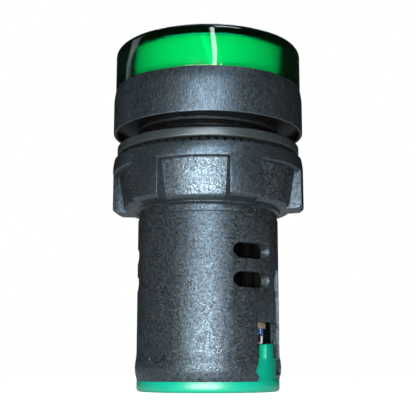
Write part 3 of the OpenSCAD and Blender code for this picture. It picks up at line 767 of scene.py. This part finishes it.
class PILOT_OT_nut(bpy.types.Operator):
    """Make the mounting nut with its rounded teeth and its lugs"""

    bl_idname = "pilot.nut"
    bl_label = "Mounting Nut"

    def execute(self, context):
        s = sizes()
        parts = [self.cone()]
        parts += [self.lug(s, s.lug_angle + i * FULL_TURN / s.lugs) for i in range(s.lugs)]
        parts += [self.tooth(i * FULL_TURN / s.teeth) for i in range(s.teeth)]
        whole = join_bmesh(parts)
        for face in whole.faces:
            spot = face.calc_center_median()
            across = Vector((-spot.y, spot.x, 0)).normalized()
            under_flange = NUT_LOW.z + 0.4 < spot.z < FLANGE_LOW - 0.02
            # The teeth and the top face between them take a darker copy of the nylon with less sheen: painted shade
            # under the gasket
            if spot.z > TEETH_FOOT - 0.02:
                face.material_index = 1
            # The lugs' flanks take a copy of the nylon with its sheen turned down: painted shade
            elif under_flange and abs(face.normal.dot(across)) > 0.8:
                face.material_index = 3
            elif under_flange and spot.xy.length < NUT_R - 0.55 and face.normal.z < -0.05:
                face.material_index = 2
        black = colours().black_nut
        finish_piece(whole, "toothed_nut", [
            moulded_nylon("Black nylon, satin", black, roughness=0.38, ior=1.78),
            moulded_nylon("Black nylon, painted shade on the teeth", hex_colour("#0c0f10"), sparkle=0.05, fleck=0.03, shine=0.42),
            moulded_nylon("Black nylon, coarse between the lugs", black, grain=0.17, depth=0.035, sparkle=0.18,
                          fleck=0.16, roughness=0.38, ior=1.74),
            moulded_nylon("Black nylon, painted shade on the lugs' flanks", black, grain=0.16, sparkle=0.12, shine=0.75),
        ], ["mounting_nut"], "nut")
        return {"FINISHED"}

    def cone(self):
        """The nut's body: a cone under a round flange."""
        low, top = NUT_LOW.z, TEETH_FOOT
        return lathe([(NUT_BORE, low), (NUT_FOOT_R, low), (NUT_FOOT_R + 0.5, low + 0.5),
                      (NUT_R - PANEL_DEPTH, FLANGE_LOW), (NUT_R, FLANGE_LOW), (NUT_R, top - 1.2),
                      (NUT_R - 0.2, top), (NUT_BORE, top)],
                     {1: 0.2, 2: 0.2, 4: 0.34, 5: 0.45, 6: 0.06})

    def lug(self, s, angle):
        """A lug with flat, parallel flanks, which sinks into the body."""
        low, top, inner = NUT_LOW.z, TEETH_FOOT, NUT_BORE + 0.2
        reach = math.asin(s.lug_w / 2 / NUT_BORE) + 0.02
        lug = sector([(inner, low + 0.02), (NUT_FOOT_R, low + 0.02), (NUT_R - 0.5, low + 0.1), (NUT_R, low + 0.5),
                      (NUT_R, top - 1.6), (NUT_R - 0.3, top - 1.0), (inner, top - 1.0)], -reach, reach, 16)
        for side in (-1, 1):
            cut = bmesh.ops.bisect_plane(lug, geom=lug.verts[:] + lug.edges[:] + lug.faces[:], clear_outer=True,
                                         plane_co=(0, side * s.lug_w / 2, 0), plane_no=(0, side, 0))
            bmesh.ops.contextual_create(lug, geom=edges_in(cut["geom_cut"]))
        tidy(lug)
        soften(lug, sharp_edges(lug, math.radians(28)), 0.3, 3)
        turn(lug, angle)
        return lug

    def tooth(self, angle):
        """A half-round tooth across the flange, leaning outward, with rounded ends."""
        tooth = bmesh.new()
        bmesh.ops.create_circle(tooth, cap_ends=True, radius=TOOTH_R, segments=20,
                                matrix=Matrix.Rotation(math.pi / 2, 4, "Y"))
        extrude(tooth, (-TOOTH_L, 0, 0))
        soften(tooth, sharp_edges(tooth), 0.12, 3)
        bmesh.ops.scale(tooth, vec=(1, 1, TOOTH_H / TOOTH_R), verts=tooth.verts[:])
        for vert in tooth.verts:
            vert.co.x -= TOOTH_LEAN * max(vert.co.z, 0.0)
        shift(tooth, (NUT_R - 0.4, 0, TEETH_FOOT))
        turn(tooth, angle)
        return tooth


class PILOT_OT_plug(bpy.types.Operator):
    """Make the coloured terminal plug"""

    bl_idname = "pilot.plug"
    bl_label = "Terminal Plug"

    def execute(self, context):
        plug = merged_copy("terminal_plug")
        # The tongue on each tab stands clear of the window's sides
        for vert in plug.verts:
            if vert.co.z > FOOT + 3.15 and abs(vert.co.y) < 1.6:
                vert.co.y *= 0.83
        soften(plug, sharp_edges(plug, ROUNDED_EDGE), 0.1)
        finish_piece(plug, "wire_plug", [glossy_moulding("Green polycarbonate, half-gloss", colours().green_plug)],
                     ["terminal_plug"], "light")
        return {"FINISHED"}


class PILOT_OT_works(bpy.types.Operator):
    """Give the terminals, boards and parts inside their finishes, and add the ends of the leads"""

    bl_idname = "pilot.works"
    bl_label = "Terminals and Electronics"

    def execute(self, context):
        finishes = {
            plated_metal("Nickel-plated brass", "#f0e2c4", 0.12, 0.6): ["terminal_right", "terminal_left"],
            plated_metal("Zinc-plated steel", "#c9ccd0", 0.1, 0.28): ["clamp_right", "clamp_left", "screw_right",
                                                                      "screw_left"],
            plated_metal("Gold-flashed brass", "#d8b25a", 0.1, 0.25): ["link_pins"],
            lacquered("White solder mask", "#e6e8e2", 0.8, 0.35): ["lamp_board"],
            lacquered("White lamp housing", "#f0efe6", 0.5, 0.4): ["lamps"],
            # The power board is drawn almost black: painted shade on the inside that shows through the vents
            lacquered("Green solder mask, darkened as painted shade", "#030a06", 0.6, 0.5, shine=0.15): ["power_board"],
            lacquered("Red epoxy case", "#a83a28", 1.2, 0.35): ["film_capacitor"],
            lacquered("Blue shrink sleeve", "#1f2f66", 0.9, 0.22, depth=0.02, coat=0.4): ["electrolytic_capacitor"],
            lacquered("Black epoxy", "#020202", 0.2, 0.8, shine=0.1): ["diodes"],
            lacquered("Tan lacquer", "#c2a878", 0.4, 0.4): ["resistor"],
        }
        for material, names in finishes.items():
            for name in names:
                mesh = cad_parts[name].data
                mesh.materials.clear()
                mesh.materials.append(material)
        sleeve = lacquered("Blue lead insulation", "#3560b4", 0.5, 0.3)
        # The lead ends are white all over, drawn as white lacquer under a clear coat: a painted highlight
        white_painted_glint = lacquered("Lead end, painted white highlight", "#f4f6f8", 0.4, 0.18, coat=1.0)
        for side, heading in (("right", 0.0), ("left", math.pi)):
            place = Matrix.Rotation(heading, 4, "Z") @ Matrix.Translation((6.7, 3.95, 0.0))
            lead = lathe([(0.0, -30.4), (0.5, -30.4), (0.5, -28.3), (0.0, -28.3)], {1: 0.15}, 24)
            drop = lathe([(0.0, -31.6), (0.42, -31.6), (0.42, -30.3), (0.0, -30.3)], {1: 0.38, 2: 0.1}, 24)
            for shape, name, finish in ((lead, "lead_sleeve_", sleeve), (drop, "lead_end_", white_painted_glint)):
                bmesh.ops.transform(shape, matrix=place, verts=shape.verts[:])
                finish_piece(shape, name + side, [finish], [], "light")
        return {"FINISHED"}


def area_lamp(name, place, target, width, height, power, colour=(1.0, 1.0, 1.0)):
    """A rectangular softbox, in millimetres and watts, aimed at a point."""
    light = bpy.data.lights.new(name, "AREA")
    light.shape = "RECTANGLE"
    light.size, light.size_y = width * MM, height * MM
    light.energy = power
    light.color = colour
    lamp = bpy.data.objects.new(name, light)
    lamp.location = Vector(place) * MM
    lamp.rotation_euler = (Vector(target) - Vector(place)).to_track_quat("-Z", "Y").to_euler()
    lamp.visible_camera = False
    bpy.context.scene.collection.objects.link(lamp)


def around(azimuth, distance, height):
    """A point at this azimuth in degrees, where 0 is in front along -Y and 90 is along +X."""
    a = math.radians(azimuth)
    return (distance * math.sin(a), -distance * math.cos(a), height)


class PILOT_OT_stage(bpy.types.Operator):
    """Make the pale floor, the soft lamps, the white surroundings and the camera"""

    bl_idname = "pilot.stage"
    bl_label = "Stage"

    def execute(self, context):
        scene = context.scene
        scene.view_settings.view_transform = "Standard"
        self.floor()
        self.surroundings(scene)
        self.lamps()
        self.camera(scene)
        return {"FINISHED"}

    def floor(self):
        """A round, pale floor just under the plug."""
        bm = bmesh.new()
        bmesh.ops.create_circle(bm, cap_ends=True, radius=FLOOR_R * MM, segments=96)
        mesh = bpy.data.meshes.new("floor")
        bm.to_mesh(mesh)
        bm.free()
        floor = bpy.data.objects.new("floor", mesh)
        floor.location.z = (PLUG_LOW.z - FLOOR_GAP) * MM
        bpy.context.scene.collection.objects.link(floor)
        material, tree = new_material("Pale studio floor")
        matt = add_node(tree, "ShaderNodeBsdfDiffuse", {"Color": colours().floor})
        path = add_node(tree, "ShaderNodeLightPath").outputs
        direct = calculate(tree, "MAXIMUM", path["Is Camera Ray"], path["Is Transmission Ray"])
        in_gloss = calculate(tree, "MULTIPLY", path["Is Glossy Ray"], 0.15)
        level = calculate(tree, "MULTIPLY", calculate(tree, "MAXIMUM", direct, in_gloss), 0.9)
        glow = add_node(tree, "ShaderNodeEmission", {"Color": shade(1.0), "Strength": level})
        total = add_node(tree, "ShaderNodeAddShader", {0: matt.outputs["BSDF"], 1: glow.outputs["Emission"]})
        # From below, the floor is clear, so that the foot of the light can be looked at
        clear = add_node(tree, "ShaderNodeBsdfTransparent")
        below = add_node(tree, "ShaderNodeNewGeometry").outputs["Backfacing"]
        either = add_node(tree, "ShaderNodeMixShader",
                          {"Fac": below, 1: total.outputs["Shader"], 2: clear.outputs["BSDF"]})
        close_material(tree, either.outputs["Shader"])
        mesh.materials.append(material)

    def surroundings(self, scene):
        """White to the camera from every side, with a white card behind the light for its gloss, in a dim room."""
        world = bpy.data.worlds.new("Studio")
        world.use_nodes = True
        scene.world = world
        tree = world.node_tree
        tree.nodes.clear()
        way = add_node(tree, "ShaderNodeTexCoord").outputs["Generated"]
        back = Vector(around(VIEW_SIDE, -1, 0.1)).normalized()
        behind = add_node(tree, "ShaderNodeVectorMath", {0: way, 1: back}, operation="DOT_PRODUCT").outputs["Value"]
        # The card fades out between 8 and 13 degrees from its middle
        card = mapped(tree, behind, 0.0, 1.0, math.cos(math.radians(13)), math.cos(math.radians(8)),
                      interpolation_type="SMOOTHSTEP")
        path = add_node(tree, "ShaderNodeLightPath").outputs
        in_gloss = calculate(tree, "MAXIMUM", path["Is Glossy Ray"], path["Is Transmission Ray"])
        shown = calculate(tree, "MULTIPLY", in_gloss, card)
        white = calculate(tree, "MAXIMUM", shown, path["Is Camera Ray"])
        colour = blend(tree, white, DIM_ROOM, shade(1.0))
        room = add_node(tree, "ShaderNodeBackground", {"Color": colour, "Strength": 1.0})
        add_node(tree, "ShaderNodeOutputWorld", {"Surface": room.outputs["Background"]})

    def lamps(self):
        """Softboxes in front and windows above and behind, placed from the side that the camera is on."""
        side, middle, high = VIEW_SIDE, (0, 0, -14), (0, 0, 8)
        warm, daylight, blue = (1.0, 0.91, 0.84), (0.86, 0.92, 1.0), (0.75, 0.85, 1.0)
        area_lamp("Low front softbox", around(side - 5, 100, -31), (0, 0, -20), 78, 12, 0.163, warm)
        area_lamp("Front softbox", around(side - 2, 120, 22), (0, 0, -3), 76, 10, 0.088)
        area_lamp("Window strip", around(side + 7, 260, 90), high, 24, 150, 0.1, daylight)
        area_lamp("Upper window", around(side + 30, 170, 240), high, 90, 60, 0.12, daylight)
        area_lamp("Left strip", around(side - 107, 200, 60), middle, 20, 160, 0.008, blue)
        area_lamp("Back window", around(side + 180, 170, 210), middle, 160, 80, 0.2, daylight)
        area_lamp("Top fill", (0, -40, 260), middle, 160, 160, 0.02)

    def camera(self, scene):
        data = bpy.data.cameras.new("View")
        data.sensor_width = 36.0
        data.lens = FOCAL_LENGTH
        data.clip_start, data.clip_end = 0.01, 10.0
        camera = bpy.data.objects.new("View", data)
        camera.location = Vector(around(VIEW_SIDE, VIEW_DISTANCE, VIEW_HEIGHT)) * MM
        camera.rotation_euler = (math.radians(90 + VIEW_TILT), 0.0, math.radians(VIEW_SIDE))
        scene.collection.objects.link(camera)
        scene.camera = camera


class PILOT_PT_panel(bpy.types.Panel):
    """Lists the sizes, colours and pieces of the pilot light in the sidebar"""

    bl_label = "Pilot Light"
    bl_idname = "PILOT_PT_panel"
    bl_space_type = "VIEW_3D"
    bl_region_type = "UI"
    bl_category = "Pilot Light"

    def draw(self, context):
        for group in (context.scene.pilot_light_sizes, colours()):
            column = self.layout.column()
            for name in property_names(group):
                column.prop(group, name)
        for operator in MAKERS:
            self.layout.operator(operator.bl_idname)


MAKERS = (PILOT_OT_housing, PILOT_OT_lens, PILOT_OT_gasket, PILOT_OT_nut, PILOT_OT_plug, PILOT_OT_works,
          PILOT_OT_stage)
CLASSES = (PilotLightSizes, PilotLightColours, *MAKERS, PILOT_PT_panel)


def register():
    for cls in CLASSES:
        bpy.utils.register_class(cls)
    bpy.types.Scene.pilot_light_sizes = bpy.props.PointerProperty(type=PilotLightSizes)
    bpy.types.Scene.pilot_light_colours = bpy.props.PointerProperty(type=PilotLightColours)


def unregister():
    del bpy.types.Scene.pilot_light_colours
    del bpy.types.Scene.pilot_light_sizes
    for cls in reversed(CLASSES):
        bpy.utils.unregister_class(cls)


def main():
    register()
    bpy.ops.pilot.housing()
    bpy.ops.pilot.lens()
    bpy.ops.pilot.gasket()
    bpy.ops.pilot.nut()
    bpy.ops.pilot.plug()
    bpy.ops.pilot.works()
    bpy.ops.pilot.stage()
    bpy.context.view_layer.update()


if __name__ == "__main__":
    main()
